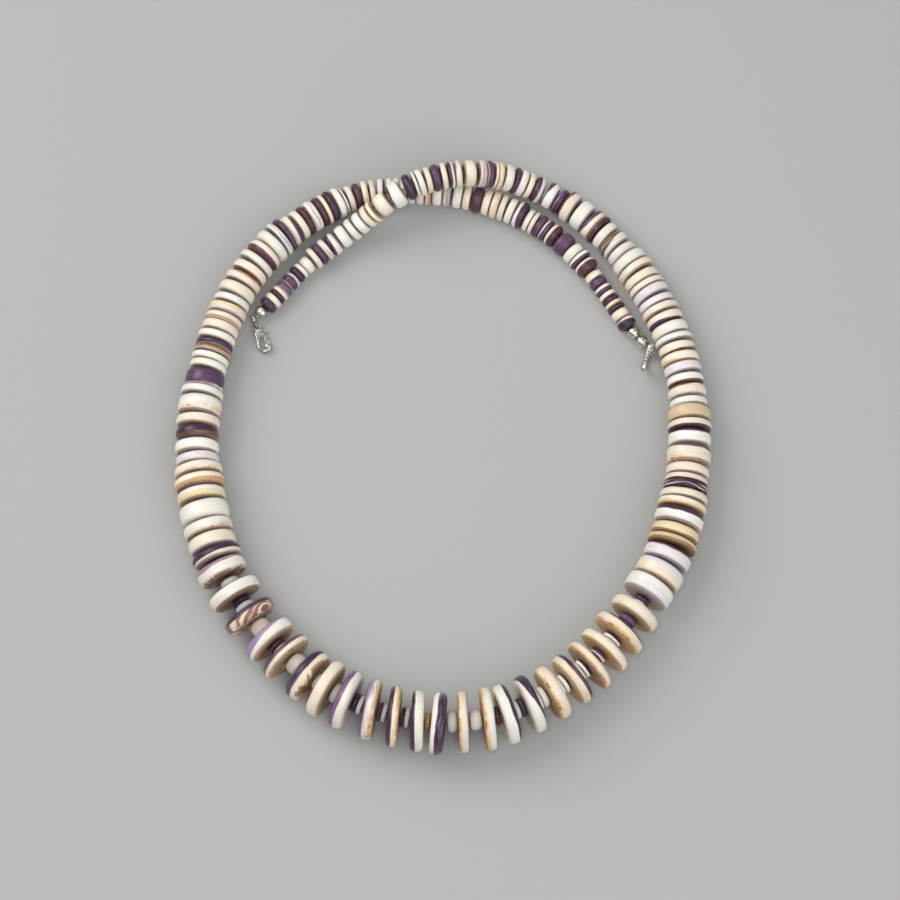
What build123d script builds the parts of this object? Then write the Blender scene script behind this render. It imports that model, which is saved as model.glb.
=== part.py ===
from build123d import *
from math import cos, radians, sin, sqrt, tan
import os

os.makedirs("parts", exist_ok=True)

# A necklace of polished shell discs, laid down as an open loop with its two ends left unfastened.
# The strand starts at the front middle and is strung outwards, to the clasp end and to the ring end.
# All lengths are in millimetres, +Z is up and Z = 0 is the surface that the discs rest on.

# Thread and holes
thread_diameter = 0.4
disc_bore = 1.9
bead_bore = 1.3
bore_clearance = 0.12
bead_gap = 0.12

# Rims: the rounding as a share of a disc's thickness, and the most that it may be
rim_share = 0.36
rim_most = 1.1

# How far a hanging disc slides towards the outside of the loop, and a spacer towards the inside
disc_slide = 0.35
spacer_slide = 0.3

# Small differences between hand cut discs: share of the diameter, degrees of tilt, and how they vary
size_scatter = 0.022
tilt_scatter = 1.0
slow_tilt = 1.5
size_step = 2.4
tilt_step = 1.7
slow_step = 0.37

# Share of the shorter straight run that an arc of the thread's route takes up
arc_share = 0.45

# Silver pieces
ball_diameter = 3.0
ball_bore = 1.15
ring_diameter = 7.0
ring_wire = 1.25
crimp_length = 1.4
crimp_width = 1.2
crimp_height = 1.5
crimp_bore_width = 0.62
crimp_bore_height = 1.1
strand_spacing = 0.5
loop_end_inside = 0.3
loop_widening = 0.4
ring_loop_room = 0.35
crimp_overhang = 0.25
bend_above_crimp = 0.4
bend_into_crimp = 0.5

# Clasp: its length runs from the outside of the eye to the tip of the hook
clasp_length = 7.6
clasp_width = 3.4
clasp_thick = 1.7
clasp_edge = 0.3
hook_wall = 0.62
base_radius = 1.2
hollow_inset = 0.2
hollow_narrow = 0.72
eye_wire = 0.5
eye_diameter = 1.9
pivot_from_eye = 2.65
pivot_side = 0.45
pin_diameter = 0.56
pin_clearance = 0.08
hub_diameter = 1.4
hub_thick = 0.8
slot_clearance = 0.11
gate_thick = 1.3
gate_inner = 0.55
gate_gap = 0.1
gate_overlap = 0.4
nose_length = 1.25
tongue_length = 0.8
tongue_under_nose = 0.12
tongue_width = 0.45
tongue_inner = 0.28
thumb_reach = 2.15
thumb_width = 0.6
thumb_behind_pivot = 0.25

# Thickness of the discs, by letter
thickness = {"a": 0.75, "b": 1.15, "c": 1.5, "d": 1.9, "e": 2.4, "f": 2.95, "g": 3.5, "h": 4.3}

# Columns: disc diameter, right string's discs and left string's discs, both outwards from the front
size_runs = [
    (11.6, "hhgdfgdd", "egfhffe"),
    (10.3, "dcehgdg", "effehd"),
    (9.0, "dfeeeecfeddecedf", "hdcccdededfeedfecb"),
    (7.6, "efebegf", "edbebbcd"),
    (6.5, "dfecdaebacdfcccdccadg", "accccdcccddcedededdcde"),
    (5.7, "gbdedfeccc", "cbccegecf"),
    (4.4, "ebbfcbacc", "dddbbbaee"),
]

# Columns: spacers before the disc, their diameter, disc thickness, disc diameter, yaw and lean in degrees
front_row = [
    ("bb", 3.9, 3.0, 12.0, 0.0, 0.0),
    ("cb", 4.5, 2.75, 13.0, -3.0, 0.0),
    ("bb", 4.6, 2.2, 13.0, 1.0, 0.0),
    ("bb", 4.3, 1.95, 13.2, 0.0, 0.0),
    ("bb", 4.7, 2.9, 13.0, 0.0, 0.0),
    ("ba", 4.7, 3.1, 13.2, -1.6, 0.0),
    ("ca", 5.0, 2.9, 14.0, -1.5, 0.0),
    ("bb", 4.7, 3.0, 14.2, -1.4, 0.0),
    ("b", 4.5, 2.4, 14.6, -4.0, 0.0),
    ("f", 4.7, 2.3, 14.3, -1.0, 0.0),
    ("e", 4.9, 3.0, 14.4, -10.0, 0.0),
    ("b", 4.0, 2.9, 14.1, 7.0, 0.0),
    ("ba", 4.7, 2.5, 14.1, 7.0, 0.0),
    ("ba", 4.5, 2.8, 14.2, 8.5, 0.0),
    ("bb", 4.6, 3.0, 14.2, 1.0, 0.0),
    ("d", 4.8, 2.85, 14.2, 2.0, 0.0),
    ("c", 4.0, 3.7, 13.0, 0.0, 0.0),
    ("g", 5.0, 2.15, 13.0, -2.5, 0.0),
    ("bb", 4.7, 3.2, 13.0, 0.0, 0.0),
    ("g", 4.7, 3.0, 12.7, -2.0, 6.0),
    ("cb", 4.6, 3.1, 12.7, 0.0, 3.0),
    ("e", 4.5, 3.7, 11.9, 0.0, 3.0),
]
middle_disc = 10

# Route of the thread from the front middle to the clasp end: over the other end and down to the surface
right_route = [
    (-1.1, -67.0, 7.3),
    (11.8, -66.1, 7.3),
    (24.4, -60.3, 6.9),
    (35.4, -51.6, 6.7),
    (44.2, -40.4, 6.3),
    (51.8, -28.8, 5.9),
    (55.9, -15.0, 5.9),
    (57.9, -0.6, 5.3),
    (57.7, 13.8, 4.7),
    (54.6, 27.2, 4.6),
    (48.9, 39.1, 4.6),
    (41.8, 50.1, 4.0),
    (33.2, 58.6, 3.9),
    (24.0, 64.6, 4.0),
    (14.4, 67.4, 7.3),
    (6.0, 67.2, 10.0),
    (-1.6, 65.9, 10.4),
    (-8.6, 63.3, 10.5),
    (-14.6, 59.4, 8.8),
    (-19.9, 55.9, 5.0),
    (-26.2, 51.6, 3.1),
    (-33.0, 46.1, 2.5),
    (-38.6, 39.4, 2.3),
    (-46.0, 31.6, 2.1),
]

# Route of the thread from the front middle to the ring end: flat on the surface and under the crossing
left_route = [
    (-1.1, -67.0, 7.3),
    (-13.8, -64.9, 7.3),
    (-25.7, -59.8, 7.3),
    (-36.2, -50.9, 6.7),
    (-45.3, -40.3, 6.4),
    (-52.9, -27.0, 6.0),
    (-56.4, -13.1, 5.9),
    (-57.9, 1.4, 5.3),
    (-56.4, 15.9, 4.8),
    (-52.9, 29.3, 4.6),
    (-47.8, 41.4, 4.6),
    (-40.1, 51.4, 4.5),
    (-30.7, 58.8, 3.9),
    (-20.4, 64.1, 3.4),
    (-8.7, 65.2, 3.3),
    (3.5, 64.3, 3.3),
    (15.3, 60.6, 3.3),
    (25.7, 54.6, 2.9),
    (33.8, 46.4, 2.7),
    (39.6, 37.9, 2.3),
    (44.4, 30.1, 2.2),
    (50.6, 23.6, 2.2),
]

# The thread's bend from the clasp end's ball into the crimp, as offsets from the ball's middle
crimp_bend = (-1.75, 0.05, -0.7)
clasp_heading = -68.3
crimp_from_ball = (-2.1, -0.75)
ring_from_ball = (1.1, -4.25)
ring_heading = 69.0


def smooth_path(points):
    # straight runs joined by the largest arcs that the runs leave room for
    corners = [Vector(*point) for point in points]
    radii = []
    for before, corner, after in zip(corners, corners[1:], corners[2:]):
        run_in = corner - before
        run_out = after - corner
        turn = radians(run_in.get_angle(run_out))
        radii.append(arc_share * min(run_in.length, run_out.length) / tan(turn / 2))
    return Wire(FilletPolyline(*corners, radius=radii).edges())


def tube_along(path):
    start = Plane(origin=path.position_at(0), z_dir=path.tangent_at(0))
    return sweep(start * Circle(thread_diameter / 2), path=path)


def shell_disc(diameter, thick, bore):
    disc = Cylinder(diameter / 2, thick)
    rounding = min(rim_share * thick, rim_most)
    disc = fillet(disc.edges(), rounding)
    return disc - Cylinder(bore / 2, 2 * thick)


def turned_axis(along, yaw, lean):
    # yaw turns the disc's axis about the vertical, lean tips the disc's top away along the thread
    axis = along.rotate(Axis.Z, yaw)
    side = Vector(0, 0, 1).cross(Vector(axis.X, axis.Y, 0)).normalized()
    return axis.rotate(Axis((0, 0, 0), tuple(side)), -lean)


def seat(strand, length, item, outwards):
    # a piece moves on the thread until it stands on the surface, and slides sideways if it has room
    along = strand.tangent_at(length, position_mode=PositionMode.LENGTH)
    centre = strand.position_at(length, position_mode=PositionMode.LENGTH)
    axis = turned_axis(along, item["yaw"], item["lean"])
    tilt = radians(axis.get_angle(along))
    play = (item["bore"] - thread_diameter) / 2 - bore_clearance - item["thick"] / 2 * tan(tilt)
    play = max(play, 0.0)
    drop = max(-play, min(play, centre.Z - item["diameter"] / 2))
    slide = min(sqrt(play * play - drop * drop), abs(item["slide"]))
    if item["slide"] < 0:
        slide = -slide
    side = along.cross(Vector(0, 0, 1)).normalized() * outwards
    return centre - Vector(0, 0, drop) + side * slide, axis


def string_up(strand, start, items, outwards):
    # each disc stands off the last by a gap and by the wedge that the angle between them opens
    placed = []
    reach = start["reach"]
    last = start
    for item in items:
        guess = reach + bead_gap + item["thick"] / 2
        centre, axis = seat(strand, guess, item, outwards)
        wedge = min(item["diameter"], last["diameter"]) / 2 * radians(axis.get_angle(last["axis"]))
        middle = guess + wedge
        centre, axis = seat(strand, middle, item, outwards)
        reach = middle + item["thick"] / 2
        last = dict(item, centre=centre, axis=axis, middle=middle, reach=reach)
        placed.append(last)
    return placed


def build_item(item):
    disc = shell_disc(item["diameter"], item["thick"], item["bore"])
    return Plane(origin=item["centre"], z_dir=item["axis"]).location * disc


def front_item(index):
    spacers, spacer_diameter, thick, diameter, yaw, lean = front_row[index]
    return {"kind": "disc", "index": index, "thick": thick, "diameter": diameter, "bore": disc_bore,
            "yaw": yaw, "lean": lean, "slide": disc_slide}


def spacer_items(index):
    letters = front_row[index][0]
    diameter = front_row[index][1]
    return [{"kind": "spacer", "thick": thickness[letter], "diameter": diameter, "bore": bead_bore,
             "yaw": 0.0, "lean": 0.0, "slide": -spacer_slide} for letter in letters]


def string_items(column, kind):
    items = []
    for run in size_runs:
        for letter in run[column]:
            ripple = sin(size_step * len(items) + column)
            other = sin(tilt_step * len(items) + 2 * column)
            slow = sin(slow_step * len(items) + 3 * column)
            items.append({"kind": kind, "thick": thickness[letter], "bore": bead_bore, "slide": 0.0,
                          "diameter": run[0] * (1 + size_scatter * ripple),
                          "yaw": tilt_scatter * (other + slow_tilt * slow), "lean": tilt_scatter * ripple})
    return items


# Both halves of the thread start at the middle disc of the front
right_strand = smooth_path(right_route)
left_strand = smooth_path(left_route)

middle_item = front_item(middle_disc)
middle_centre, middle_axis = seat(right_strand, 0.0, middle_item, 1)
middle_item.update(centre=middle_centre, axis=middle_axis, reach=middle_item["thick"] / 2)

right_items = []
for index in range(middle_disc, 0, -1):
    right_items += list(reversed(spacer_items(index)))
    right_items.append(front_item(index - 1))
right_items += list(reversed(spacer_items(0)))
right_items += string_items(1, "right")

left_items = []
for index in range(middle_disc + 1, len(front_row)):
    left_items += spacer_items(index)
    left_items.append(front_item(index))
left_items += string_items(2, "left")

right_start = dict(middle_item)
left_start = dict(middle_item, axis=middle_axis * -1)
# yaw and lean in the table are given for travel from the clasp end, so the right half turns them round
for item in right_items:
    item["lean"] = -item["lean"]
right_placed = string_up(right_strand, right_start, right_items, 1)
left_placed = string_up(left_strand, left_start, left_items, -1)
print("lengths strung:", round(right_placed[-1]["reach"], 2), round(left_placed[-1]["reach"], 2))

everything = {}
discs = [middle_item] + [item for item in right_placed + left_placed if item["kind"] == "disc"]
for item in discs:
    everything["disc_%02d" % (item["index"] + 1)] = build_item(item)
for node, kind in (("spacer_beads", "spacer"), ("right_string", "right"), ("left_string", "left")):
    pieces = [build_item(item) for item in right_placed + left_placed if item["kind"] == kind]
    everything[node] = Compound(pieces)


# Silver balls: one at the clasp end, two at the ring end
def drilled_ball(centre, enter, leave):
    ball = Sphere(ball_diameter / 2)
    for direction in (enter, leave):
        drill = Cylinder(ball_bore / 2, ball_diameter, align=(Align.CENTER, Align.CENTER, Align.MIN))
        ball -= Plane(origin=(0, 0, 0), z_dir=direction).location * drill
    ball -= Sphere(ball_bore / 2)
    return Pos(*tuple(centre)) * ball


def ball_centre(strand, reach):
    middle = reach + bead_gap + ball_diameter / 2
    return middle, strand.position_at(middle, position_mode=PositionMode.LENGTH)


def heading(angle):
    return Vector(cos(radians(angle)), sin(radians(angle)), 0)


def end_loop(frame, start, mouth, bar, reach):
    # the thread's two strands leave a bore side by side and pass round a bar
    half = strand_spacing / 2
    shoulder = mouth + loop_widening * (reach - half)
    upper = [(start, half), (mouth, half), (shoulder, reach), (bar + reach, reach)]
    lower = [(x, -y) for x, y in reversed(upper)]
    path = smooth_path([frame.from_local_coords((x, y, 0)) for x, y in upper + lower])
    return tube_along(path)


right_ball_at, right_ball = ball_centre(right_strand, right_placed[-1]["reach"])
right_in = right_strand.tangent_at(right_ball_at, position_mode=PositionMode.LENGTH) * -1
clasp_axis = heading(clasp_heading)
crimp_z = max(crimp_height, clasp_thick) / 2
crimp_top = Vector(right_ball.X + crimp_from_ball[0], right_ball.Y + crimp_from_ball[1], crimp_z)
bend = [right_ball + Vector(*crimp_bend), crimp_top - clasp_axis * bend_above_crimp]
everything["clasp_ball"] = drilled_ball(right_ball, right_in, bend[0] - right_ball)

first_ball_at, first_ball = ball_centre(left_strand, left_placed[-1]["reach"])
second_ball_at, second_ball = ball_centre(left_strand, first_ball_at + ball_diameter / 2)
first_in = left_strand.tangent_at(first_ball_at, position_mode=PositionMode.LENGTH)
second_in = left_strand.tangent_at(second_ball_at, position_mode=PositionMode.LENGTH)
everything["ring_ball_inner"] = drilled_ball(first_ball, first_in * -1, first_in)

# Ring of twisted wire, standing on its edge beside the last ball
ring_radius = (ring_diameter - ring_wire) / 2
ring_centre = Vector(second_ball.X + ring_from_ball[0], second_ball.Y + ring_from_ball[1], ring_diameter / 2)
ring_side = heading(ring_heading)
ring_normal = ring_side.cross(Vector(0, 0, 1))
ring_place = Plane(origin=ring_centre, z_dir=ring_normal).location
everything["twisted_ring"] = ring_place * Torus(ring_radius, ring_wire / 2)
held_height = second_ball.Z - ring_centre.Z
held_at = ring_centre + ring_side * sqrt(ring_radius ** 2 - held_height ** 2) + Vector(0, 0, held_height)
to_ring = held_at - second_ball
everything["ring_ball_outer"] = drilled_ball(second_ball, second_in * -1, to_ring)

# Crimp: a squeezed tube that holds the thread's end and its loop
crimp_frame = Plane(origin=crimp_top, x_dir=clasp_axis, z_dir=clasp_axis.cross(Vector(0, 0, 1)) * -1)
crimp_outline = SlotOverall(crimp_height, crimp_width, rotation=90)
crimp_bore = SlotOverall(crimp_bore_height, crimp_bore_width, rotation=90)
crimp_plane = Plane(origin=crimp_top, x_dir=clasp_axis.cross(Vector(0, 0, 1)), z_dir=clasp_axis)
everything["crimp_tube"] = extrude(crimp_plane * (crimp_outline - crimp_bore), crimp_length)

# Thread: two halves from the front middle, the bend into the crimp, and a loop at each end
right_half = right_strand.trim(0, right_ball_at / right_strand.length)
left_half = left_strand.trim(0, (second_ball_at - thread_diameter) / left_strand.length)
bend_points = [right_ball] + bend + [crimp_top + clasp_axis * bend_into_crimp]
bend_path = smooth_path([tuple(point) for point in bend_points])
loop_reach = eye_wire / 2 + bore_clearance + thread_diameter / 2
loop_mouth = crimp_length + crimp_overhang
eye_at = loop_mouth + loop_reach
clasp_loop = end_loop(crimp_frame, crimp_length - bend_into_crimp, loop_mouth, eye_at, loop_reach)
ring_frame = Plane(origin=second_ball, x_dir=to_ring, z_dir=(0, 0, 1))
ring_reach = ring_wire / 2 + ring_loop_room + thread_diameter / 2
ring_mouth = ball_diameter / 2 + bore_clearance
ring_loop = end_loop(ring_frame, loop_end_inside, ring_mouth, to_ring.length, ring_reach)
joint = Pos(*tuple(right_ball)) * Sphere(thread_diameter / 2)
strand = tube_along(right_half) + tube_along(left_half) + joint + tube_along(bend_path)
everything["thread"] = Compound(strand.solids() + clasp_loop.solids() + ring_loop.solids())


# Lobster clasp, drawn with the outside of its eye at x = 0 and the gate on the +y side
def plan_between(small_x, small_y, small_radius, large_x, large_y, large_radius):
    small = Pos(small_x, small_y) * Circle(small_radius)
    large = Pos(large_x, large_y) * Circle(large_radius)
    return make_hull(small.edges() + large.edges())


def box_between(x_from, x_to, y_from, y_to, height):
    size = Box(x_to - x_from, y_to - y_from, height)
    return Pos((x_from + x_to) / 2, (y_from + y_to) / 2, 0) * size


head_radius = clasp_width / 2
head_x = clasp_length - head_radius
hollow_radius = head_radius - hook_wall
notch_from = pivot_from_eye + hub_diameter / 2
nose_x = clasp_length - nose_length
gate_start = notch_from + gate_gap
outer_plan = plan_between(pivot_from_eye, 0, base_radius, head_x, 0, head_radius)
hollow_x = notch_from + hollow_inset + hollow_narrow
hollow_plan = plan_between(hollow_x, 0, hollow_narrow, head_x, 0, hollow_radius)
slot_height = hub_thick + 2 * slot_clearance
hub_room = hub_diameter / 2 + slot_clearance

clasp = Pos(0, 0, -clasp_thick / 2) * extrude(outer_plan, clasp_thick)
clasp = fillet(clasp.edges(), clasp_edge)
clasp -= Pos(0, 0, -clasp_thick) * extrude(hollow_plan, 2 * clasp_thick)
clasp -= box_between(notch_from, nose_x, 0, clasp_width, 2 * clasp_thick)
eye_x = eye_diameter / 2
clasp += Pos(eye_x, 0, 0) * Torus(eye_x - eye_wire / 2, eye_wire / 2)
clasp -= Pos(eye_x, 0, 0) * Cylinder(eye_x - eye_wire, clasp_thick)
slot_end = notch_from + hollow_narrow
clasp -= box_between(pivot_from_eye - hub_room, slot_end, pivot_side - hub_room, clasp_width, slot_height)
clasp += Pos(pivot_from_eye, pivot_side, 0) * Cylinder(pin_diameter / 2, clasp_thick)
clasp = clasp.solids().sort_by(SortBy.VOLUME)[-1]

# The gate follows the body's outline, its tongue tucks inside the nose, and its hub turns on the pin
hollow_edge = sqrt(hollow_radius ** 2 - (nose_x - head_x) ** 2)
gate_reach = sqrt((nose_x - pivot_from_eye) ** 2 + (hollow_edge - pivot_side) ** 2) - gate_gap
gate_window = box_between(gate_start, nose_x, gate_inner, clasp_width, 2 * gate_thick)
gate_window &= Pos(pivot_from_eye, pivot_side, 0) * Cylinder(gate_reach, 2 * gate_thick)
gate = (Pos(0, 0, -gate_thick / 2) * extrude(outer_plan, gate_thick)) & gate_window
tongue_tip = nose_x + tongue_under_nose
tongue_outer = tongue_inner + tongue_width
tongue = box_between(tongue_tip - tongue_length, tongue_tip, tongue_inner, tongue_outer, hub_thick)
hub = Pos(pivot_from_eye, pivot_side, 0) * Cylinder(hub_diameter / 2, hub_thick)
neck_top = pivot_side + hub_diameter / 2
neck = box_between(pivot_from_eye, gate_start + gate_overlap, gate_inner, neck_top, hub_thick)
thumb_end = pivot_from_eye - thumb_behind_pivot + thumb_width / 2
thumb = box_between(thumb_end - thumb_width, thumb_end, pivot_side, thumb_reach, hub_thick)
lever = gate + tongue + hub + neck + thumb
lever -= Pos(pivot_from_eye, pivot_side, 0) * Cylinder(pin_diameter / 2 + pin_clearance, clasp_thick)

eye_place = crimp_top + clasp_axis * (eye_at - eye_wire / 2)
clasp_origin = (eye_place.X, eye_place.Y, clasp_thick / 2)
clasp_place = Plane(origin=clasp_origin, x_dir=clasp_axis, z_dir=(0, 0, 1)).location
everything["clasp_body"] = clasp_place * clasp
everything["clasp_lever"] = clasp_place * lever
pivot = clasp_place * Pos(pivot_from_eye, pivot_side, 0)

# The origin is moved to the middle of the bottom of the whole
bounds = Compound([solid for shape in everything.values() for solid in shape.solids()]).bounding_box()
shift = Pos(-(bounds.min.X + bounds.max.X) / 2, -(bounds.min.Y + bounds.max.Y) / 2, -bounds.min.Z)
for node, shape in everything.items():
    export_step(shift * shape, "parts/%s.step" % node)
print("lever pivot:", (shift * pivot).position)
print("shift:", shift.position)
print("size:", bounds.size, "nodes:", len(everything))
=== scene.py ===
import math
import random

import bmesh
import bpy
import numpy as np
from mathutils import Matrix, Vector


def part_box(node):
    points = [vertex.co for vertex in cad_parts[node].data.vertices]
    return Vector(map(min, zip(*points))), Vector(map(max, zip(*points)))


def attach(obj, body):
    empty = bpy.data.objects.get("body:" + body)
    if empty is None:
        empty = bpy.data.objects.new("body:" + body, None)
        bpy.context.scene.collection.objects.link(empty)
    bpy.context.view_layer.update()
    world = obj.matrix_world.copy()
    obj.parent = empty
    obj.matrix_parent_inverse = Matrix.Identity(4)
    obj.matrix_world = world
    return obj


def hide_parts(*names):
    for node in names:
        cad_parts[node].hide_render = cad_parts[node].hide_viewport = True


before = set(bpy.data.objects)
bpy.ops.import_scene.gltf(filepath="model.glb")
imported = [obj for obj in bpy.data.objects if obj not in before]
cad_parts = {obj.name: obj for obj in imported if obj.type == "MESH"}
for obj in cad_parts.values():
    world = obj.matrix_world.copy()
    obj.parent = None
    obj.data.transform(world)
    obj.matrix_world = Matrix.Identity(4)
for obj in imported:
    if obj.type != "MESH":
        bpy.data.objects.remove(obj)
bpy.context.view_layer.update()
bpy.ops.object.select_all(action="DESELECT")
mm = 0.001
print("frame loaded")


# Camera and light come first; the camera has the photograph's view

view = {
    "lookAt": (1.55, 3.21, 0.0),  # mm, as the distance and the width of the picture are
    "height": 72.0,               # degrees over the floor
    "distance": 1300.0,
    "frameWidth": 211.5,
    "farClip": 30.0,
}
floorLook = {"colour": (0.405, 0.405, 0.392), "roughness": 0.75, "width": 4.0}
lightLook = {
    "key": {"at": (-0.75, 0.45, 0.8), "width": 0.9, "power": 9.0, "tint": (1.0, 0.985, 0.96)},
    "fill": {"at": (0.7, -0.75, 0.75), "width": 1.2, "power": 7.1, "tint": (0.95, 0.97, 1.0)},
    "top": {"at": (0.0, -0.4, 1.3), "width": 0.4, "power": 3.3, "tint": (1.0, 1.0, 0.99)},
}
skyLook = {"top": (0.95, 0.97, 1.0), "low": (0.14, 0.13, 0.12), "topFrom": 0.8, "strength": 0.59}


def aimAt(thing, target):
    thing.rotation_euler = (Vector(target) - thing.location).to_track_quat("-Z", "Y").to_euler()


def placeCamera():
    target = Vector(view["lookAt"]) * mm
    lift = math.radians(view["height"])
    away = Vector((0.0, -math.cos(lift), math.sin(lift))) * view["distance"] * mm
    bpy.ops.object.camera_add(location=target + away)
    camera = bpy.context.object
    aimAt(camera, target)
    camera.data.lens = camera.data.sensor_width * view["distance"] / view["frameWidth"]
    camera.data.clip_end = view["farClip"]
    bpy.context.scene.camera = camera


def placeLights():
    for name, look in lightLook.items():
        bpy.ops.object.light_add(type="AREA", location=look["at"])
        lamp = bpy.context.object
        lamp.name = name + "Light"
        lamp.data.size = look["width"]
        lamp.data.energy = look["power"]
        lamp.data.color = look["tint"]
        aimAt(lamp, (0.0, 0.0, 0.0))


def spreadSky():
    world = bpy.data.worlds.new("softSky")
    world.use_nodes = True
    tree = world.node_tree
    background = tree.nodes["Background"]
    background.inputs["Strength"].default_value = skyLook["strength"]
    where = tree.nodes.new("ShaderNodeTexCoord")
    split = tree.nodes.new("ShaderNodeSeparateXYZ")
    ramp = tree.nodes.new("ShaderNodeValToRGB")
    for stop, position, tint in zip(ramp.color_ramp.elements, (0.0, skyLook["topFrom"]), ("low", "top")):
        stop.position = position
        stop.color = (*skyLook[tint], 1.0)
    tree.links.new(where.outputs["Generated"], split.inputs[0])
    tree.links.new(split.outputs["Z"], ramp.inputs[0])
    tree.links.new(ramp.outputs[0], background.inputs["Color"])
    bpy.context.scene.world = world
    bpy.context.scene.view_settings.view_transform = "Standard"


placeCamera()
placeLights()
spreadSky()
print("camera and lights placed")


# Small helpers for nodes

def plug(tree, value, socket):
    # a socket is linked, a plain value is set
    if isinstance(value, bpy.types.NodeSocket):
        tree.links.new(value, socket)
    else:
        socket.default_value = value


def mathNode(tree, operation, first, second=0.0, clamp=False):
    node = tree.nodes.new("ShaderNodeMath")
    node.operation = operation
    node.use_clamp = clamp
    plug(tree, first, node.inputs[0])
    plug(tree, second, node.inputs[1])
    return node.outputs[0]


def plus(tree, first, second):
    return mathNode(tree, "ADD", first, second)


def minus(tree, first, second, clamp=False):
    return mathNode(tree, "SUBTRACT", first, second, clamp)


def times(tree, first, second, clamp=False):
    return mathNode(tree, "MULTIPLY", first, second, clamp)


def gapBetween(tree, first, second):
    return mathNode(tree, "ABSOLUTE", minus(tree, first, second))


def vectorNode(tree, operation, first, second):
    node = tree.nodes.new("ShaderNodeVectorMath")
    node.operation = operation
    plug(tree, first, node.inputs[0])
    plug(tree, second, node.inputs["Scale"] if operation == "SCALE" else node.inputs[1])
    return node.outputs[0]


def mixColour(tree, share, first, second, blend="MIX"):
    node = tree.nodes.new("ShaderNodeMix")
    node.data_type = "RGBA"
    node.blend_type = blend
    plug(tree, share, node.inputs["Factor"])
    plug(tree, first, node.inputs[6])  # 6, 7 and 2 are its sockets for colours
    plug(tree, second, node.inputs[7])
    return node.outputs[2]


def smoothStep(tree, value, span, start=0.0, end=1.0):
    node = tree.nodes.new("ShaderNodeMapRange")
    node.interpolation_type = "SMOOTHSTEP"
    plug(tree, value, node.inputs["Value"])
    given = {"From Min": span[0], "From Max": span[1], "To Min": start, "To Max": end}
    for name, number in given.items():
        plug(tree, number, node.inputs[name])
    return node.outputs[0]


noiseSpan = (0.3, 0.7)  # nearly all of a noise's values lie between these


def noiseNode(tree, where, scale, detail=2.0, roughness=0.5, distortion=0.0):
    node = tree.nodes.new("ShaderNodeTexNoise")
    plug(tree, where, node.inputs["Vector"])
    node.inputs["Scale"].default_value = scale
    node.inputs["Detail"].default_value = detail
    node.inputs["Roughness"].default_value = roughness
    node.inputs["Distortion"].default_value = distortion
    return node.outputs[0]


def bumpNode(tree, height, strength, distance):
    node = tree.nodes.new("ShaderNodeBump")
    node.inputs["Strength"].default_value = strength
    node.inputs["Distance"].default_value = distance
    plug(tree, height, node.inputs["Height"])
    return node.outputs[0]


def objectPlace(tree):
    return tree.nodes.new("ShaderNodeTexCoord").outputs["Object"]


def readNumber(tree, name, output="Fac"):
    node = tree.nodes.new("ShaderNodeAttribute")
    node.attribute_name = name
    return node.outputs[output]


def readTint(tree, name):
    return readNumber(tree, name, "Color")


def newMaterial(name):
    material = bpy.data.materials.new(name)
    material.use_nodes = True
    return material, material.node_tree, material.node_tree.nodes["Principled BSDF"]


# Floor

def layFloor():
    bpy.ops.mesh.primitive_plane_add(size=floorLook["width"], location=(0.0, 0.0, 0.0))
    floor = bpy.context.object
    floor.name = "paleFloor"
    material, tree, skin = newMaterial("paleFloor")
    skin.inputs["Base Color"].default_value = (*floorLook["colour"], 1.0)
    skin.inputs["Roughness"].default_value = floorLook["roughness"]
    floor.data.materials.append(material)


layFloor()


# Shell: layers of purple and white that run along the faces of every disc. Scales are waves to a metre.
# A pair is where something starts and where it is full, or its least and its most

shellLook = {
    "wanderScale": 260.0,
    "borderWander": 0.4,      # how far the border between two colours strays, in half thicknesses
    "borderSoft": 0.1,
    "layerScale": 110.0,
    "layersPerMm": 2.6,
    "layerWaves": 1.3,        # mm
    "layerTone": 0.06,
    "streaks": (0.5, 0.6),
    "amber": (0.74, 0.43, 0.17, 1.0),
    "amberScale": 330.0,
    "amberPatches": (0.34, 0.55),
    "amberBand": (0.0, 0.7),
    "amberShare": 0.95,
    "rust": (0.27, 0.105, 0.035, 1.0),
    "rustScale": 700.0,
    "rustPatches": (0.52, 0.62),
    "rustLine": (0.02, 0.14),
    "rustShare": 0.9,
    "rustStrength": 2.0,
    "faceWander": 0.35,
    "faceEdge": (0.7, 0.98),
    "faceLayers": (0.2, 0.7),
    "faceTone": (0.8, 1.0),
    "faceDull": 0.25,
    "whorlScale": 120.0,
    "whorlSwirl": 1.2,
    "whorlTurns": 40.0,
    "whorlReach": 0.35,
    "whorlEdge": (0.5, 0.8),
    "whorlBands": (-0.5, 0.7),
    "whorlPale": (0.80, 0.66, 0.53, 1.0),
    "whorlDark": (0.26, 0.135, 0.09, 1.0),
    "warm": (1.0, 0.86, 0.66, 1.0),
    "warmScale": 240.0,
    "warmPatches": (0.42, 0.68),
    "mottle": 0.35,
    "speckScale": 2600.0,
    "speckTone": (0.965, 1.03),
    "roughness": (0.29, 0.41),
    "coat": 0.22,
    "coatRoughness": 0.2,
    "sheen": 0.3,
    "glow": 0.1,
    "glowReach": (1.0, 0.7, 0.55),
    "glowDepth": 0.0006,
    "reliefScale": 900.0,
    "reliefLayers": 0.6,
    "reliefStrength": 0.25,
    "reliefDepth": 0.00006,
}

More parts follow.
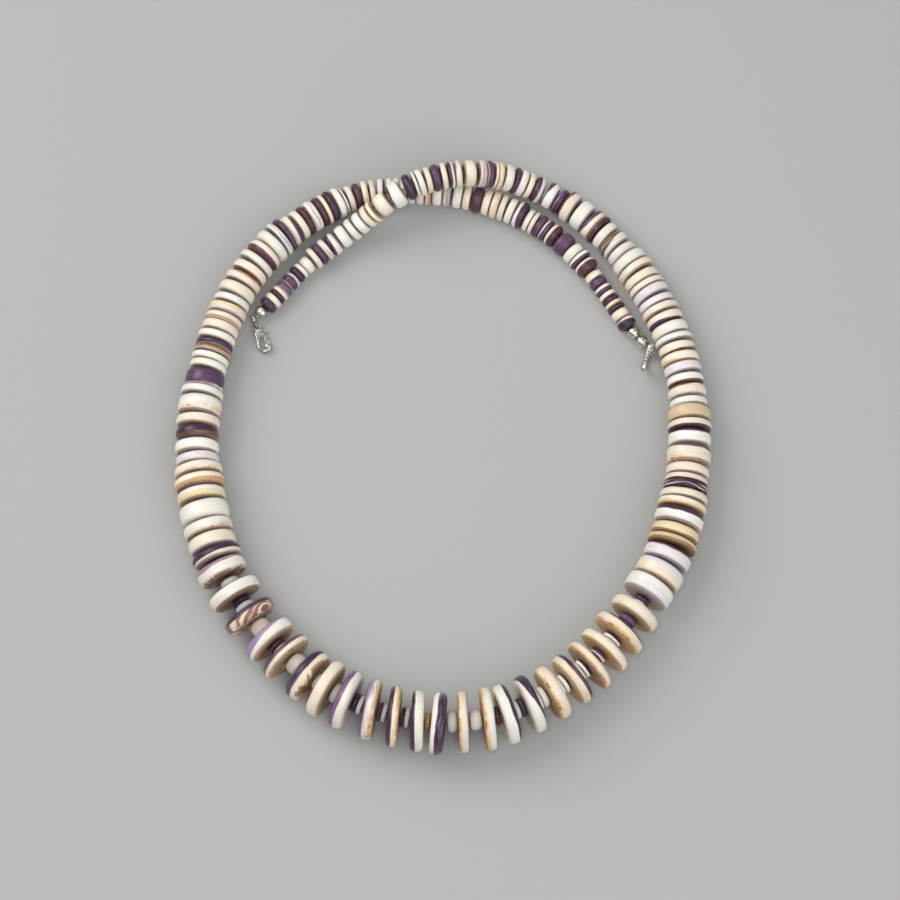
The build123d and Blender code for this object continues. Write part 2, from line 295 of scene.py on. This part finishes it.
shellTints = {
    "w": (0.86, 0.83, 0.76),     # white
    "c": (0.86, 0.77, 0.64),     # cream
    "h": (0.84, 0.73, 0.565),    # warm cream
    "y": (0.82, 0.68, 0.44),     # yellowed cream
    "e": (0.70, 0.55, 0.36),     # tan cream
    "l": (0.79, 0.74, 0.76),     # lilac white
    "k": (0.83, 0.71, 0.62),     # pinkish cream
    "g": (0.46, 0.42, 0.38),     # grey
    "t": (0.55, 0.35, 0.18),     # tan
    "f": (0.31, 0.155, 0.065),   # brown tan
    "o": (0.30, 0.195, 0.09),    # olive brown
    "b": (0.17, 0.085, 0.05),    # brown
    "s": (0.37, 0.25, 0.38),     # soft lilac
    "v": (0.165, 0.07, 0.19),    # violet
    "u": (0.13, 0.085, 0.155),   # blue purple
    "p": (0.100, 0.046, 0.100),  # purple
    "m": (0.095, 0.034, 0.045),  # maroon
    "d": (0.048, 0.024, 0.052),  # dark purple
}
darkTints = "bvupmd"


def layerNoise(tree, place, wander):
    # fine growth layers, parallel to the faces
    look = shellLook
    bent = plus(tree, readNumber(tree, "depth"), times(tree, wander, look["layerWaves"]))
    split = tree.nodes.new("ShaderNodeSeparateXYZ")
    plug(tree, vectorNode(tree, "SCALE", place, look["layerScale"]), split.inputs[0])
    stretched = tree.nodes.new("ShaderNodeCombineXYZ")
    plug(tree, times(tree, bent, look["layersPerMm"]), stretched.inputs[0])
    plug(tree, split.outputs[1], stretched.inputs[1])
    plug(tree, split.outputs[2], stretched.inputs[2])
    return noiseNode(tree, stretched.outputs[0], scale=1.0, detail=3.0, roughness=0.6)


def addStreaks(tree, colour, layers, share):
    look = shellLook
    streaks = times(tree, smoothStep(tree, layers, look["streaks"]), readNumber(tree, "streakShare"))
    streaks = times(tree, streaks, gapBetween(tree, share, readNumber(tree, "streakLeft")))
    colour = mixColour(tree, streaks, colour, readTint(tree, "streakTint"))
    tone = smoothStep(tree, layers, noiseSpan, 1.0 - look["layerTone"], 1.0 + look["layerTone"])
    return vectorNode(tree, "SCALE", colour, tone)


def addStain(tree, colour, place, across):
    # a soft amber band along one edge, with a ragged rusty line in it
    look = shellLook
    stained = readNumber(tree, "stainShare")
    away = gapBetween(tree, across, readNumber(tree, "stainAt"))
    patches = smoothStep(tree, noiseNode(tree, place, look["amberScale"]), look["amberPatches"])
    band = times(tree, smoothStep(tree, away, look["amberBand"], look["amberShare"], 0.0), patches)
    colour = mixColour(tree, times(tree, band, stained), colour, look["amber"])
    ragged = noiseNode(tree, place, look["rustScale"], detail=3.0, roughness=0.6)
    ragged = smoothStep(tree, ragged, look["rustPatches"])
    line = times(tree, smoothStep(tree, away, look["rustLine"], look["rustShare"], 0.0), ragged)
    line = times(tree, line, times(tree, stained, look["rustStrength"]), clamp=True)
    return mixColour(tree, line, colour, look["rust"])


def addWhorl(tree, colour, place, edge, share):
    # a few faces show the whorl of the shell, curved bands of white and brown
    look = shellLook
    whorled = readNumber(tree, "whorlShare")
    waves = noiseNode(tree, place, look["whorlScale"], detail=1.0, roughness=0.4, distortion=look["whorlSwirl"])
    waves = mathNode(tree, "SINE", times(tree, waves, look["whorlTurns"]))
    reached = plus(tree, edge, times(tree, whorled, look["whorlReach"]))
    whorl = times(tree, smoothStep(tree, reached, look["whorlEdge"]), whorled)
    whorl = times(tree, whorl, minus(tree, 1.0, share))
    bands = mixColour(tree, smoothStep(tree, waves, look["whorlBands"]), look["whorlDark"], look["whorlPale"])
    return mixColour(tree, whorl, colour, bands)


def shellMaterial():
    material, tree, skin = newMaterial("polishedShell")
    look = shellLook
    place = vectorNode(tree, "ADD", objectPlace(tree), readNumber(tree, "beadSeed", "Vector"))
    wander = minus(tree, noiseNode(tree, place, look["wanderScale"]), 0.5)
    across = plus(tree, readNumber(tree, "across"), times(tree, wander, look["borderWander"]))
    border = minus(tree, across, readNumber(tree, "borderAt"))
    share = smoothStep(tree, border, (-look["borderSoft"], look["borderSoft"]))
    colour = mixColour(tree, share, readTint(tree, "leftTint"), readTint(tree, "rightTint"))
    layers = layerNoise(tree, place, wander)
    colour = addStreaks(tree, colour, layers, share)
    colour = addStain(tree, colour, place, across)

    # the flat faces are duller and take the face tint, with a ragged edge towards the rim. The face tint is
    # painted shade in the gaps between the string beads; on the discs' visible faces it is partly the shell's own
    # tan and partly painted shade
    edge = plus(tree, readNumber(tree, "edge"), times(tree, wander, look["faceWander"]))
    face = times(tree, smoothStep(tree, edge, look["faceEdge"]), readNumber(tree, "faceShare"))
    face = times(tree, face, smoothStep(tree, layers, look["faceLayers"], *look["faceTone"]))
    colour = mixColour(tree, face, colour, readTint(tree, "faceTint"))
    colour = addWhorl(tree, colour, place, edge, share)
    warmth = smoothStep(tree, noiseNode(tree, place, look["warmScale"]), look["warmPatches"], 0.0, look["mottle"])
    colour = mixColour(tree, warmth, colour, look["warm"], "MULTIPLY")
    speck = noiseNode(tree, place, look["speckScale"], detail=1.0)
    speck = smoothStep(tree, speck, noiseSpan, *look["speckTone"])
    plug(tree, vectorNode(tree, "SCALE", colour, speck), skin.inputs["Base Color"])

    polish = smoothStep(tree, layers, noiseSpan, *look["roughness"])
    plug(tree, plus(tree, polish, times(tree, face, look["faceDull"])), skin.inputs["Roughness"])
    plug(tree, times(tree, minus(tree, 1.0, face, clamp=True), look["coat"]), skin.inputs["Coat Weight"])
    skin.inputs["Specular IOR Level"].default_value = look["sheen"]
    skin.inputs["Coat Roughness"].default_value = look["coatRoughness"]
    skin.inputs["Subsurface Weight"].default_value = look["glow"]
    skin.inputs["Subsurface Radius"].default_value = look["glowReach"]
    skin.inputs["Subsurface Scale"].default_value = look["glowDepth"]
    relief = times(tree, layers, look["reliefLayers"])
    relief = plus(tree, relief, noiseNode(tree, place, look["reliefScale"], detail=3.0))
    plug(tree, bumpNode(tree, relief, look["reliefStrength"], look["reliefDepth"]), skin.inputs["Normal"])
    return material


# Silver and cable: the clasp's silver has darker patches than the balls and the ring, partly tarnish and partly
# painted shade for the clasp's shaded hollow and dark reflections

metalLook = {
    "silver": (0.82, 0.80, 0.76, 1.0),
    "lightTarnish": (0.56, 0.52, 0.46, 1.0),
    # the clasp's darker tarnish, partly painted shade
    "darkTarnishAndShade": (0.27, 0.23, 0.18, 1.0),
    "tarnishScale": 900.0,
    "tarnishPatches": (0.35, 0.72),
    "polishScale": 1500.0,
    "roughness": (0.1, 0.24),
    "dentScale": 1800.0,
    "dentStrength": 0.12,
    "dentDepth": 0.00003,
}
cableLook = {
    "dark": (0.2, 0.19, 0.18, 1.0),
    "light": (0.42, 0.4, 0.37, 1.0),
    "roughness": 0.42,
    "grainScale": 3000.0,
    "grainStrength": 0.2,
    "grainDepth": 0.00003,
}


def silverMaterial(name, tarnishAndShadeTint):
    material, tree, skin = newMaterial(name)
    look = metalLook
    place = objectPlace(tree)
    skin.inputs["Metallic"].default_value = 1.0
    tarnish = noiseNode(tree, place, look["tarnishScale"], detail=3.0)
    tarnish = smoothStep(tree, tarnish, look["tarnishPatches"])
    plug(tree, mixColour(tree, tarnish, look["silver"], tarnishAndShadeTint), skin.inputs["Base Color"])
    polish = smoothStep(tree, noiseNode(tree, place, look["polishScale"]), noiseSpan, *look["roughness"])
    plug(tree, polish, skin.inputs["Roughness"])
    dents = noiseNode(tree, place, look["dentScale"])
    plug(tree, bumpNode(tree, dents, look["dentStrength"], look["dentDepth"]), skin.inputs["Normal"])
    return material


def cableMaterial():
    material, tree, skin = newMaterial("coatedCable")
    look = cableLook
    grain = noiseNode(tree, objectPlace(tree), look["grainScale"])
    plug(tree, mixColour(tree, grain, look["dark"], look["light"]), skin.inputs["Base Color"])
    skin.inputs["Roughness"].default_value = look["roughness"]
    plug(tree, bumpNode(tree, grain, look["grainStrength"], look["grainDepth"]), skin.inputs["Normal"])
    return material


shell = shellMaterial()
silver = silverMaterial("polishedSilver", metalLook["lightTarnish"])
# the clasp's silver is darkened, partly as painted shade
castSilver = silverMaterial("castSilver", metalLook["darkTarnishAndShade"])
cable = cableMaterial()
print("materials made")


# Where the discs are: each CAD node of loose discs is read piece by piece

def readPoints(mesh):
    points = np.empty(len(mesh.vertices) * 3)
    mesh.vertices.foreach_get("co", points)
    return points.reshape(-1, 3)


def looseParts(node):
    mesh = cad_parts[node].data
    grid = 1e-6
    places, same = np.unique(np.round(readPoints(mesh) / grid).astype(np.int64), axis=0, return_inverse=True)
    mesh.calc_loop_triangles()
    corners = np.empty(len(mesh.loop_triangles) * 3, dtype=np.int32)
    mesh.loop_triangles.foreach_get("vertices", corners)
    corners = same.reshape(-1)[corners].reshape(-1, 3)
    label = np.arange(len(places))
    while True:
        # the lowest label spreads through each loose part
        lowest = label[corners].min(axis=1)
        after = label.copy()
        for column in range(3):
            np.minimum.at(after, corners[:, column], lowest)
        after = after[after]
        if (after == label).all():
            break
        label = after
    return [places[label == name] * grid for name in np.unique(label)]


def measurePart(points, along):
    # the axis of a round part is the direction whose spread differs from the other two
    spread, directions = np.linalg.eigh(np.cov((points - points.mean(axis=0)).T))
    likeness = [abs(float(np.dot(directions[:, n], along))) for n in range(3)]
    axis = directions[:, int(np.argmax(likeness))]
    if max(likeness) < 0.9:
        axis = np.array(along)  # too thick to tell, so the way along the strand is taken
    axis = axis * (1.0 if np.dot(axis, along) > 0 else -1.0)
    side = np.cross((0.0, 0.0, 1.0), axis)
    side = side / np.linalg.norm(side)
    up = np.cross(axis, side)
    frameOf = np.stack([side, up, axis])
    reach = points @ frameOf.T
    low, high = reach.min(axis=0), reach.max(axis=0)
    centre = ((low + high) / 2) @ frameOf
    size = high - low
    return {"centre": Vector(centre), "axis": Vector(axis), "side": Vector(side), "up": Vector(up),
            "diameter": float(max(size[0], size[1])), "thick": float(size[2])}


def walkFrom(start, parts):
    # nearest next part, and then the next
    left = [(Vector(p.mean(axis=0)), p) for p in parts]
    here = Vector(start)
    path = []
    while left:
        nearest = min(range(len(left)), key=lambda n: (left[n][0] - here).length)
        here, points = left.pop(nearest)
        path.append((here, points))
    return path


def measureWalk(start, parts, towardsRing):
    path = walkFrom(start, parts)
    centres = [Vector(start)] + [centre for centre, points in path]
    found = []
    for n, (centre, points) in enumerate(path):
        following = centres[n + 2] if n + 2 < len(centres) else centre
        along = (following - centres[n]).normalized()
        found.append(measurePart(points, tuple(along if towardsRing else -along)))
    return found


discNames = ["disc_%02d" % n for n in range(1, 23)]
discPoints = [np.concatenate(looseParts(name)) for name in discNames]
discCentres = [Vector(points.mean(axis=0)) for points in discPoints]
discPlaces = []
for n, points in enumerate(discPoints):
    before = discCentres[max(n - 1, 0)]
    after = discCentres[min(n + 1, len(discCentres) - 1)]
    discPlaces.append(measurePart(points, tuple((after - before).normalized())))

rightPlaces = measureWalk(discCentres[0], looseParts("right_string"), False)
leftPlaces = measureWalk(discCentres[-1], looseParts("left_string"), True)
spacerPlaces = measureWalk(rightPlaces[0]["centre"], looseParts("spacer_beads"), True)
print("discs found:", len(rightPlaces), len(leftPlaces), len(spacerPlaces), len(discPlaces))


# Colour charts, read along the strand from the clasp to the ring. One word is one disc: its left and right
# colour, a digit for where the border lies between them, from 0 at the left to 10 at the right, then
# + or - for rust at the right or the left, ~ for streaks, ^ for streaks on the pale side and * for bold ones

rightChart = """
    d c d c uc8 pl5 d c w
    k p w* pw4 pw1 w w wy7 c- lc1
    mw1 d c w c p c~ ml4 pc1 cy7 k~ p c+ y w d lc4+ c ml4 pw4 p~
    mk4 bw1 pc3 m w bw5* l
    w c+ c c l l c+ cp9 w wl7 cb8+ ce8 l wb8 bk1 lw2
    de3 cp8~ dw2 pc2+ k kb8 d*
    c ce6 dw3 yo7 eo7 pl2 lc3+ wl7
"""

leftChart = """
    kd3^ c w- w yw4 tc4- c-
    l w bd5* c wl6- w
    wp2 w w ef5~ d wk7 c tc2 ky5~ w cb8+ kb8+ tc1 w mc4 w w~ p
    cp7 c m w~ m ct5 d w
    lm5 c m c c~ lp6 w w c l l ct6 w lg5 w c m c c+ k wc5 ld5
    w c p lp3 cm4 cp1 w wp6 wm5
    yw4 p wp4 c d ct6 d c cd4
"""

# The dark part of "dw3", beside disc_04, is painted shade
spacerChart = """
    d l p~ u pw4 w pk6~ pl5 dw3 c mw3 l w w d l m w w t
    w d w p w d w k w w m~ c w d wp7~
"""

# Columns: colours as in the charts, colours of the left and the right face, how much wider the left colour
# is at the top, and how clearly the faces show the whorl
# The tan "t" and brown "f" face colours are partly the shell's own tan and partly painted shade on the faces that
# show
discChart = [
    ("h", "h", "t", 0.0, 0.0), ("dh2+", "d", "t", 0.0, 0.0), ("h", "h", "t", 0.0, 0.1),
    ("h+", "h", "t", 0.0, 0.2), ("dh4~", "d", "t", 0.1, 0.0), ("h+", "h", "t", 0.0, 0.0),
    ("dw5", "d", "c", 1.0, 0.0), ("dw3", "d", "c", 0.2, 0.0), ("wh5+", "w", "t", 0.1, 0.0),
    ("lh2+", "s", "t", 0.0, 0.0), ("dw6~", "p", "c", -0.1, 0.0), ("wd7", "c", "p", 0.1, 0.0),
    ("hd6-", "t", "d", 0.0, 0.0), ("ws7^-", "t", "p", -0.3, 0.0), ("wv6~", "c", "v", -0.1, 0.0),
    ("c", "t", "c", 0.0, 0.1), ("hd5~", "f", "d", 0.0, 0.8), ("cm5~", "t", "m", 0.1, 0.2),
    ("ws6", "t", "s", 0.5, 0.0), ("kd6", "f", "d", 0.0, 2.4), ("wp9", "f", "p", 0.1, 0.1),
    ("ws7", "f", "s", 0.1, 0.5),
]

# How far the faces' tint reaches round the rim, how strong it is, and how strong the stains are. On the string
# beads and spacers the faces' tint comes from the gap shade tints and is painted shade in the gaps between beads
beadLook = {"gapReach": 1.3, "faceShare": 0.65, "stainShare": 0.5, "lightness": 1.0,
            "gapShadeTints": ("bb", "mb", "pb", "bm", "cm", "bp")}
# The spacers' lightness past 1 is painted light: their tints are raised against the shade that falls between the
# discs
spacerLook = {"gapReach": 1.0, "faceShare": 0.3, "stainShare": 0.5, "lightness": 1.12,
              "gapShadeTints": ("bb", "pp")}
discLook = {"gapReach": 1.0, "faceShare": 0.9, "stainShare": 1.0, "lightness": 0.99}

# What the marks mean. Places run from -1 at the left face to 1 at the right, where the charts' digits
# run from 0 to 10
markLook = {
    "stainAt": 0.8,
    "noBorder": 2.0,
    "darkStreaks": ("s", 0.12),
    "paleStreaks": ("p", 0.03),
    "streaked": 0.55,
    "boldOnDark": ("k", 0.9),
    "boldOnPale": ("b", 0.9),
}


def readWord(word, faces, look, slant=None, whorl=0.0):
    letters = [letter for letter in word if letter in shellTints]
    digits = [letter for letter in word if letter.isdigit()]
    left, right = letters[0], letters[-1]
    darkLeft, darkRight = left in darkTints, right in darkTints
    streakOnLeft = darkLeft or len(letters) == 1 or not darkRight
    if "^" in word:
        streakOnLeft = not darkLeft
    onDark = (left if streakOnLeft else right) in darkTints
    streak, streakShare = markLook["darkStreaks" if onDark else "paleStreaks"]
    if "~" in word or "^" in word:
        streakShare = markLook["streaked"]
    if "*" in word:
        streak, streakShare = markLook["boldOnDark" if onDark else "boldOnPale"]
    return {
        "left": shellTints[left], "right": shellTints[right],
        "leftFace": shellTints[faces[0]], "rightFace": shellTints[faces[1]],
        "borderAt": int(digits[0]) / 5.0 - 1.0 if digits else markLook["noBorder"],
        "stainAt": -markLook["stainAt"] if "-" in word else markLook["stainAt"],
        "stainShare": look["stainShare"] if ("-" in word or "+" in word) else 0.0,
        "streak": shellTints[streak], "streakLeft": 1.0 if streakOnLeft else 0.0, "streakShare": streakShare,
        "faceShare": look["faceShare"], "gapReach": look["gapReach"],
        "whorlShare": whorl, "slant": slant, "lightness": look["lightness"],
    }


# One blank for each shape of disc, copied for every disc of that shape. Sizes are in mm

beadCut = {
    "sides": 24, "discSides": 44,
    "bore": 1.3, "discBore": 1.9,
    "rimShare": 0.4, "rimMost": 1.25, "rimSteps": 4,
    "diameterStep": 0.4, "thickStep": 0.1,
}
paintLook = {
    "turn": (0.0, 6.28),        # which way a border leans, all round
    "slant": (0.05, 0.5),       # how far a border leans by chance
    "lightness": (0.94, 1.04),
    "faceEdge": 1.2,            # past 1, so a flat face takes its own tint
    "faceStart": 0.6,           # share of the rim's rounding
}
blanks = {}


def rimRounding(thick):
    return min(beadCut["rimShare"] * thick, beadCut["rimMost"] * mm)


def cutBlank(diameter, thick, bore, sides):
    key = (round(diameter, 4), round(thick, 4), bore, sides)  # metres, to a tenth of a millimetre
    if key in blanks:
        return blanks[key]
    bpy.ops.object.select_all(action="DESELECT")
    bpy.ops.mesh.primitive_cylinder_add(vertices=sides, radius=diameter / 2, depth=thick, end_fill_type="NGON")
    blank = bpy.context.object
    blank.name = "blank"
    bpy.ops.object.mode_set(mode="EDIT")
    bpy.ops.mesh.select_mode(type="FACE")
    bpy.ops.mesh.select_all(action="DESELECT")
    edit = bmesh.from_edit_mesh(blank.data)
    for face in edit.faces:
        face.select = abs(face.normal.z) > 0.9  # both ends
    bmesh.update_edit_mesh(blank.data)
    bpy.ops.mesh.inset(thickness=(diameter - bore) / 2 * math.cos(math.pi / sides), depth=0.0)
    bpy.ops.mesh.bridge_edge_loops()
    bpy.ops.mesh.select_mode(type="EDGE")
    bpy.ops.mesh.select_all(action="DESELECT")
    edit = bmesh.from_edit_mesh(blank.data)
    for edge in edit.edges:
        level = abs(edge.verts[0].co.z - edge.verts[1].co.z) < thick * 0.1
        outer = min(corner.co.xy.length for corner in edge.verts) > diameter * 0.49
        edge.select = level and outer  # the two outer rims
    bmesh.update_edit_mesh(blank.data)
    bpy.ops.mesh.bevel(offset=rimRounding(thick), offset_type="OFFSET", segments=beadCut["rimSteps"],
                       profile=0.5, affect="EDGES")
    bpy.ops.object.mode_set(mode="OBJECT")
    bpy.ops.object.shade_smooth()
    blanks[key] = blank
    return blank


def paintBead(mesh, words, place, chance):
    # attributes that the shell material reads, the same all over a bead apart from its own place in it
    points = readPoints(mesh)
    radius = place["diameter"] / 2
    turn = chance.uniform(*paintLook["turn"])
    lean = points[:, 0] * math.cos(turn) + points[:, 1] * math.sin(turn)
    slant = chance.uniform(*paintLook["slant"]) * lean / radius
    if words["slant"] is not None:
        slant = words["slant"] * points[:, 0] / radius
    across = points[:, 2] / (place["thick"] / 2)
    flat = np.hypot(points[:, 0], points[:, 1]) < radius - rimRounding(place["thick"]) * paintLook["faceStart"]
    # faceTint and edge carry painted shade: the tint grows towards each face, so it darkens the gaps between
    # beads and partly shades the discs' visible faces
    faceTint = np.where((across > 0)[:, None], words["rightFace"], words["leftFace"])
    numbers = {
        "across": across + slant,
        "depth": points[:, 2] / mm,
        "edge": np.where(flat, paintLook["faceEdge"], abs(across) ** 2 * words["gapReach"]),
    }
    for name in ("borderAt", "stainAt", "stainShare", "streakLeft", "streakShare", "faceShare", "whorlShare"):
        numbers[name] = np.full(len(points), words[name])
    for name, values in numbers.items():
        mesh.attributes.new(name, "FLOAT", "POINT").data.foreach_set("value", np.asarray(values, np.float32))
    lightness = chance.uniform(*paintLook["lightness"]) * words["lightness"]
    tints = {"leftTint": words["left"], "rightTint": words["right"],
             "streakTint": words["streak"], "faceTint": faceTint}
    for name, values in tints.items():
        table = np.ones((len(points), 4), np.float32)
        table[:, :3] = np.asarray(values, np.float32) * lightness
        mesh.attributes.new(name, "FLOAT_COLOR", "POINT").data.foreach_set("color", table.ravel())
    seed = np.tile(np.array([chance.uniform(0, 1) for axis in range(3)], np.float32), len(points))
    mesh.attributes.new("beadSeed", "FLOAT_VECTOR", "POINT").data.foreach_set("vector", seed)


def copyBead(name, place, words, chance, bore, sides):
    # the copy is scaled from its blank's size to its own, so few blanks serve many discs
    coarse = beadCut["diameterStep"] * mm
    fine = beadCut["thickStep"] * mm
    blankDiameter = round(place["diameter"] / coarse) * coarse
    blankThick = max(round(place["thick"] / fine) * fine, fine)
    mesh = cutBlank(blankDiameter, blankThick, bore * mm, sides).data.copy()
    wide = place["diameter"] / blankDiameter
    mesh.transform(Matrix.Diagonal((wide, wide, place["thick"] / blankThick, 1.0)))
    paintBead(mesh, words, place, chance)
    turned = Matrix((place["side"], place["up"], place["axis"])).transposed().to_4x4()
    mesh.transform(Matrix.Translation(place["centre"]) @ turned)
    bead = bpy.data.objects.new(name, mesh)
    bpy.context.scene.collection.objects.link(bead)
    return bead


def joinPieces(name, pieces):
    bpy.ops.object.select_all(action="DESELECT")
    for piece in pieces:
        piece.select_set(True)
    bpy.context.view_layer.objects.active = pieces[0]
    if len(pieces) > 1:
        bpy.ops.object.join()
    joined = bpy.context.object
    joined.name = name
    joined.data.name = name
    return joined


# Hand cut shell is never quite round. Waves are in mm: how long and how high

handCut = {
    "beads": {"length": 3.0, "height": 0.12},
    "discs": {"length": 5.0, "height": 0.26},
}


def handCutTexture(length):
    texture = bpy.data.textures.new("handCut", "CLOUDS")
    texture.noise_scale = length * mm
    texture.noise_depth = 1
    return texture


handCutTextures = {kind: handCutTexture(waves["length"]) for kind, waves in handCut.items()}


def roughenByHand(piece, kind):
    bump = piece.modifiers.new("handCut", "DISPLACE")
    bump.texture = handCutTextures[kind]
    bump.texture_coords = "LOCAL"
    bump.strength = handCut[kind]["height"] * mm
    bump.mid_level = 0.5
    bpy.context.view_layer.objects.active = piece
    bpy.ops.object.modifier_apply(modifier=bump.name)


def finishShell(piece, node):
    piece.data.materials.clear()
    piece.data.materials.append(shell)
    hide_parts(node)
    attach(piece, "strand")


def stringBeads(name, node, places, chart, look, fromClasp, seed):
    chance = random.Random(seed)
    words = [readWord(word, chance.choice(look["gapShadeTints"]), look) for word in chart.split()]
    if not fromClasp:
        words.reverse()
    beads = [copyBead(name, place, word, chance, beadCut["bore"], beadCut["sides"])
             for place, word in zip(places, words)]
    print(name, len(places), "places,", len(words), "words")
    piece = joinPieces(name, beads)
    roughenByHand(piece, "beads")
    finishShell(piece, node)


def frontDiscs(seed):
    chance = random.Random(seed)
    for node, place, (word, leftFace, rightFace, slant, whorl) in zip(discNames, discPlaces, discChart):
        words = readWord(word, (leftFace, rightFace), discLook, slant, whorl)
        disc = copyBead("disc", place, words, chance, beadCut["discBore"], beadCut["discSides"])
        disc = joinPieces(node.replace("disc_", "disc"), [disc])
        roughenByHand(disc, "discs")
        finishShell(disc, node)


stringBeads("rightString", "right_string", rightPlaces, rightChart, beadLook, fromClasp=False, seed=11)
stringBeads("leftString", "left_string", leftPlaces, leftChart, beadLook, fromClasp=True, seed=12)
stringBeads("spacerBeads", "spacer_beads", spacerPlaces, spacerChart, spacerLook, fromClasp=True, seed=13)
frontDiscs(seed=14)
for blank in blanks.values():
    bpy.data.objects.remove(blank)
print("shell discs made")


# Silver: the ring is two wires twisted together and bent round. Sizes are in mm

ringLook = {
    "wire": 0.64,
    "offset": 0.3,     # of each wire from their middle
    "turns": 12,
    "around": 5.75,    # diameter of the wires' middle line
    "heading": 69.0,
    "sides": 10,
    "cuts": 260,
    "weld": 0.02,
}


def layWire(offset, length):
    look = ringLook
    bpy.ops.object.select_all(action="DESELECT")
    bpy.ops.mesh.primitive_cylinder_add(vertices=look["sides"], radius=look["wire"] / 2 * mm, depth=length,
                                        end_fill_type="NOTHING", location=(0.0, offset * mm, 0.0),
                                        rotation=(0.0, math.pi / 2, 0.0))
    wire = bpy.context.object
    bpy.ops.object.transform_apply(location=True, rotation=True, scale=True)
    bpy.ops.object.mode_set(mode="EDIT")
    bpy.ops.mesh.select_mode(type="EDGE")
    bpy.ops.mesh.select_all(action="DESELECT")
    edit = bmesh.from_edit_mesh(wire.data)
    for edge in edit.edges:
        edge.select = abs(edge.verts[0].co.x - edge.verts[1].co.x) > length / 2  # along the wire
    bmesh.update_edit_mesh(wire.data)
    bpy.ops.mesh.subdivide(number_cuts=look["cuts"])
    bpy.ops.object.mode_set(mode="OBJECT")
    return wire


def twistRing():
    look = ringLook
    length = math.pi * look["around"] * mm
    ring = joinPieces("twistedRing", [layWire(sign * look["offset"], length) for sign in (1.0, -1.0)])
    for method, turns, axis in (("TWIST", look["turns"], "X"), ("BEND", 1, "Z")):
        shaping = ring.modifiers.new(method.lower(), "SIMPLE_DEFORM")
        shaping.deform_method = method
        shaping.deform_axis = axis
        shaping.angle = turns * 2 * math.pi
        bpy.ops.object.modifier_apply(modifier=shaping.name)
    bpy.ops.object.mode_set(mode="EDIT")
    bpy.ops.mesh.select_all(action="SELECT")
    bpy.ops.mesh.remove_doubles(threshold=look["weld"] * mm)
    bpy.ops.mesh.normals_make_consistent(inside=False)
    bpy.ops.object.mode_set(mode="OBJECT")
    points = readPoints(ring.data)
    middle = Vector((points.min(axis=0) + points.max(axis=0)) / 2)
    low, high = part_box("twisted_ring")
    turn = math.radians(look["heading"])
    side = Vector((math.cos(turn), math.sin(turn), 0.0))
    up = Vector((0.0, 0.0, 1.0))
    placed = Matrix((side, up, side.cross(up))).transposed().to_4x4()
    ring.data.transform(Matrix.Translation((low + high) / 2) @ placed @ Matrix.Translation(-middle))
    bpy.ops.object.shade_smooth()
    ring.data.materials.append(silver)
    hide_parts("twisted_ring")
    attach(ring, "strand")
    print("ring size:", [round(v / mm, 2) for v in (points.max(axis=0) - points.min(axis=0))])


twistRing()


# The clasp is cast, so a copy of each of its solids is rounded all over. Sizes are in mm

claspLook = {"weld": 0.001, "grain": 0.05, "smooth": 0.6, "rounds": 14}


def castPiece(name, node, body):
    look = claspLook
    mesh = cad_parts[node].data.copy()
    piece = bpy.data.objects.new(name, mesh)
    bpy.context.scene.collection.objects.link(piece)
    bpy.ops.object.select_all(action="DESELECT")
    piece.select_set(True)
    bpy.context.view_layer.objects.active = piece
    bpy.ops.object.mode_set(mode="EDIT")
    bpy.ops.mesh.select_all(action="SELECT")
    bpy.ops.mesh.remove_doubles(threshold=look["weld"] * mm)
    bpy.ops.object.mode_set(mode="OBJECT")
    remesh = piece.modifiers.new("casting", "REMESH")
    remesh.mode = "VOXEL"
    remesh.voxel_size = look["grain"] * mm
    bpy.ops.object.modifier_apply(modifier=remesh.name)
    soften = piece.modifiers.new("soften", "SMOOTH")
    soften.factor = look["smooth"]
    soften.iterations = look["rounds"]
    bpy.ops.object.modifier_apply(modifier=soften.name)
    bpy.ops.object.shade_smooth()
    piece.data.materials.clear()
    piece.data.materials.append(castSilver)
    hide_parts(node)
    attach(piece, body)
    print(name, "faces:", len(piece.data.polygons))


castPiece("claspBody", "clasp_body", "strand")
castPiece("claspLever", "clasp_lever", "lever")


def dressNode(node, material):
    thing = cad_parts[node]
    thing.data.materials.clear()
    thing.data.materials.append(material)


for node in ("clasp_ball", "ring_ball_inner", "ring_ball_outer", "crimp_tube"):
    dressNode(node, silver)
dressNode("thread", cable)
bpy.ops.object.select_all(action="DESELECT")
print("silver and thread done")
